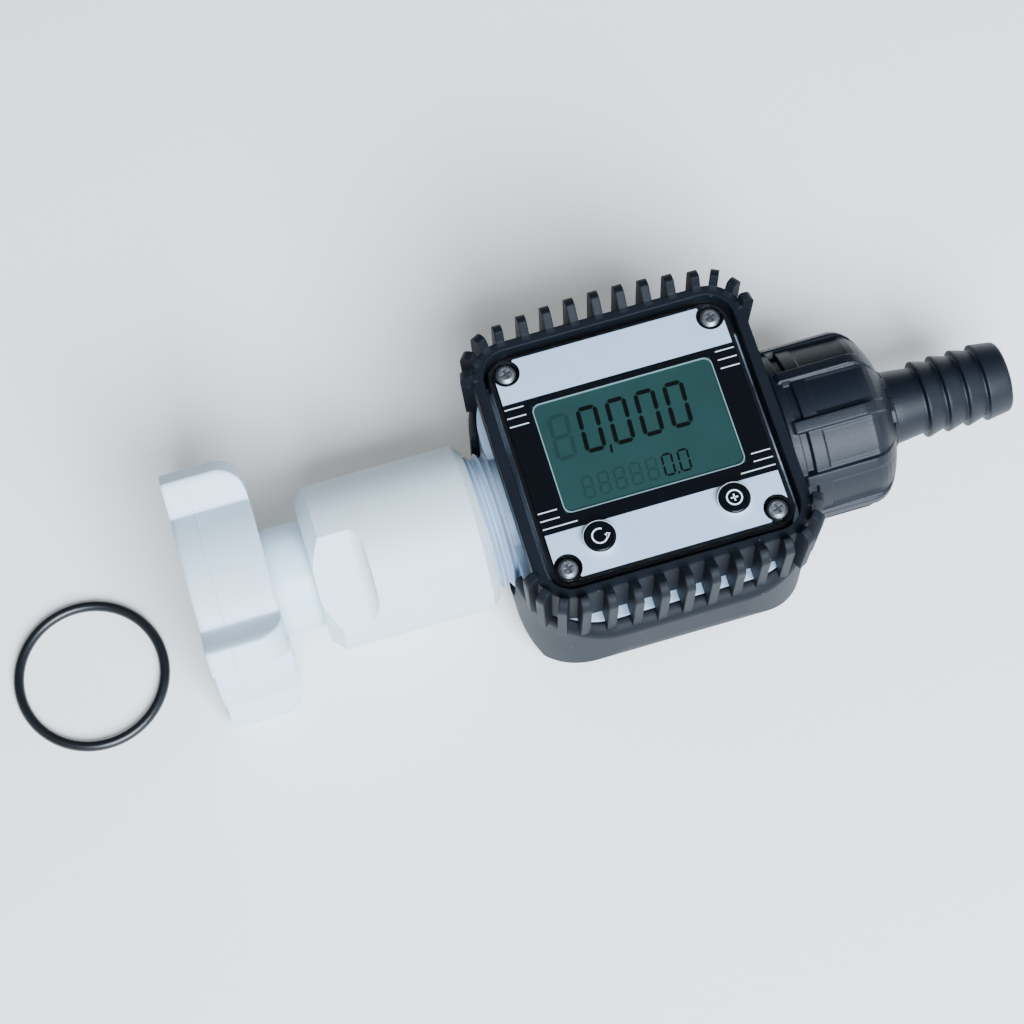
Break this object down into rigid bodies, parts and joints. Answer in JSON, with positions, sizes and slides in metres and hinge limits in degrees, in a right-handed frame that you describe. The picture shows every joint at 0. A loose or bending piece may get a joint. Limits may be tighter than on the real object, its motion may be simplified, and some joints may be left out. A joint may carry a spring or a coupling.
{
  "type": "turbine flow meter",
  "caption": "In-line turbine flow meter with a display head in a ribbed rubber guard, a swivel nut with hand lugs, a threaded adapter and a barbed hose tail.",
  "frame": {"origin": "centre of the guard's flat underside, on the surface that the meter lies on", "axes": "+X along the pipe from the swivel nut to the hose tail, +Y towards the top of the display, +Z out of the display"},
  "size_m": [0.2505, 0.0774, 0.0547],
  "materials": {
    "guard_rubber": "matt, slightly grainy",
    "seal_rubber": "satin",
    "white_plastic": "satin moulded",
    "nut_plastic": "satin moulded",
    "cream_plastic": "turned, matt",
    "black_plastic": "satin moulded",
    "clear_plastic": "clear, polished",
    "facia_film": "printed film, silver and black",
    "display_glass": "grey green liquid crystal",
    "key_plastic": "smooth",
    "board_laminate": "lacquered",
    "switch_plastic": "moulded",
    "screw_steel": "plated",
    "inner_steel": "plain",
    "cell_wrap": "plain sleeve",
    "rotor_plastic": "moulded",
    "bush_ceramic": "ground",
    "magnet_metal": "nickel plated"
  },
  "bodies": {
    "meter": {"rubber_guard": "guard_rubber", "cover_gasket": "seal_rubber", "nut_washer": "seal_rubber", "adapter_seal": "seal_rubber", "union_seal": "seal_rubber", "loose_seal": "seal_rubber", "meter_body": "white_plastic", "swivel_tail": "nut_plastic", "thread_adapter": "cream_plastic", "head_case": "black_plastic", "pickup_sensor": "black_plastic", "clear_cover": "clear_plastic", "facia_panel": "facia_film", "lcd_display": "display_glass", "circuit_board": "board_laminate", "left_key_switch": "switch_plastic", "right_key_switch": "switch_plastic", "face_screws": "screw_steel", "cell_contacts": "inner_steel", "inlet_retaining_ring": "inner_steel", "outlet_retaining_ring": "inner_steel", "upper_cell": "cell_wrap", "lower_cell": "cell_wrap", "inlet_straightener": "rotor_plastic", "outlet_straightener": "rotor_plastic", "inlet_bush": "bush_ceramic", "outlet_bush": "bush_ceramic"},
    "rotor": {"turbine_rotor": "rotor_plastic", "rotor_shaft": "inner_steel", "rotor_magnets": "magnet_metal"},
    "swivel": {"swivel_nut": "nut_plastic"},
    "left_button": {"left_key": "key_plastic"},
    "right_button": {"right_key": "key_plastic"},
    "tail_piece": {"hose_tail": "black_plastic"},
    "union": {"union_nut": "black_plastic"}
  },
  "joints": [
    {"name": "rotor_spin", "type": "hinge", "parent": "meter", "child": "rotor", "pos_m": [0, 0, 0.0254], "axis": [1, 0, 0], "continuous": true},
    {"name": "nut_swivel", "type": "hinge", "parent": "meter", "child": "swivel", "pos_m": [-0.0995, 0, 0.0254], "axis": [1, 0, 0], "continuous": true},
    {"name": "left_key_press", "type": "slide", "parent": "meter", "child": "left_button", "axis": [0, 0, -1], "range_m": [0, 0.0004], "stiffness_N_per_m": 400},
    {"name": "right_key_press", "type": "slide", "parent": "meter", "child": "right_button", "axis": [0, 0, -1], "range_m": [0, 0.0004], "stiffness_N_per_m": 400},
    {"name": "tail_release", "type": "slide", "parent": "meter", "child": "tail_piece", "axis": [1, 0, 0], "range_m": [0, 0.0116]},
    {"name": "union_turn", "type": "hinge", "parent": "tail_piece", "child": "union", "pos_m": [0.05, 0, 0.0254], "axis": [1, 0, 0], "range_deg": [0, 1800]}
  ],
  "couplings": [
    {"joint": "tail_release", "follows": "union_turn", "m_per_rad": 0.00036749}
  ]
}
